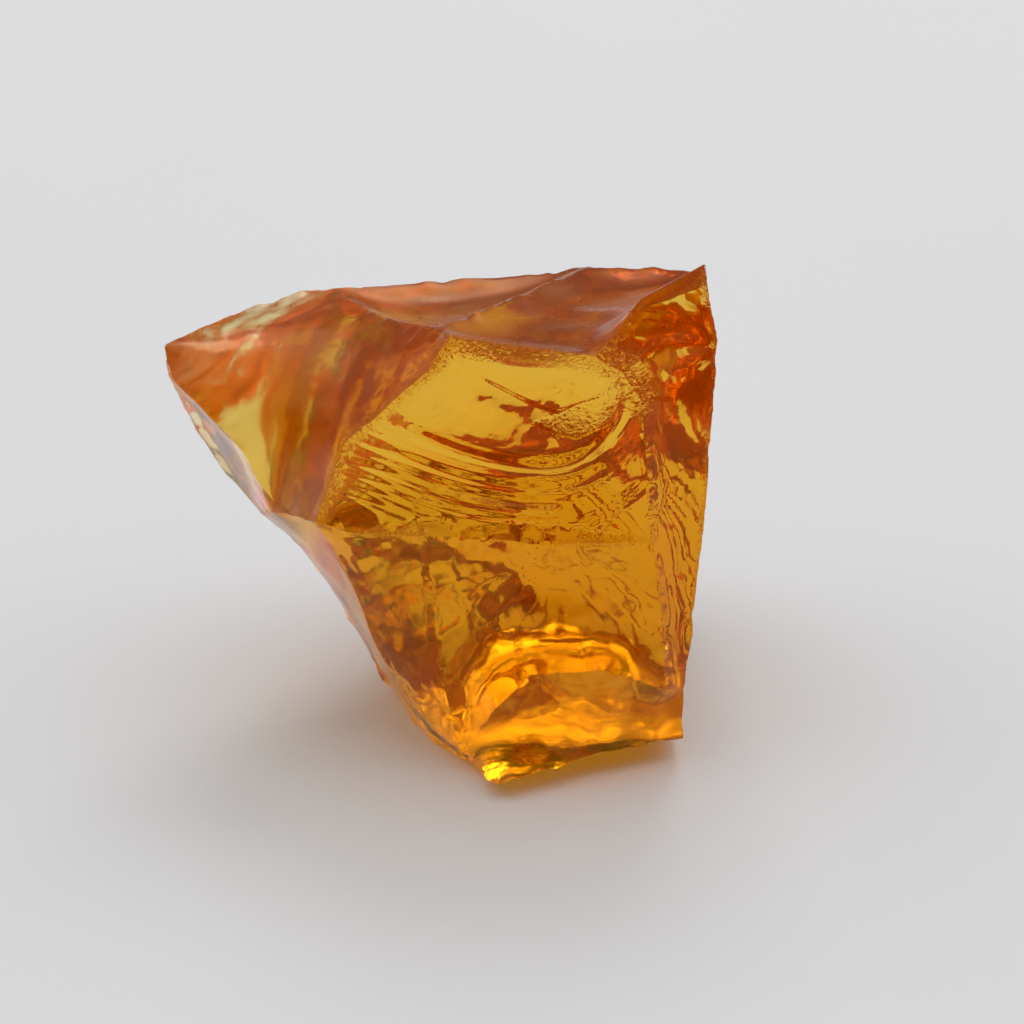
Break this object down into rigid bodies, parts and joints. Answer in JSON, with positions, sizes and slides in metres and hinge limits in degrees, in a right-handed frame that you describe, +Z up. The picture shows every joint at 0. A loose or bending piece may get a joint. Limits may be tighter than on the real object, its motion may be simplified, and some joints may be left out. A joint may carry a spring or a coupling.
{
  "type": "rough topaz",
  "caption": "Rough lump of clear golden topaz with shell-shaped fracture faces, a horn at one side and a ringed scar in front, standing on a flat break.",
  "frame": {"origin": "middle of the bounding box, at the level of the flat the stone stands on", "axes": "+Z up from the rest plane, +X towards the tall right side, -Y towards the ringed front scar"},
  "size_m": [0.0408, 0.0322, 0.0382],
  "materials": {
    "golden_topaz": "clear golden-brown, glassy fracture surfaces with ripples and crushed edges"
  },
  "bodies": {
    "root": {"rough_topaz": "golden_topaz"}
  },
  "joints": []
}
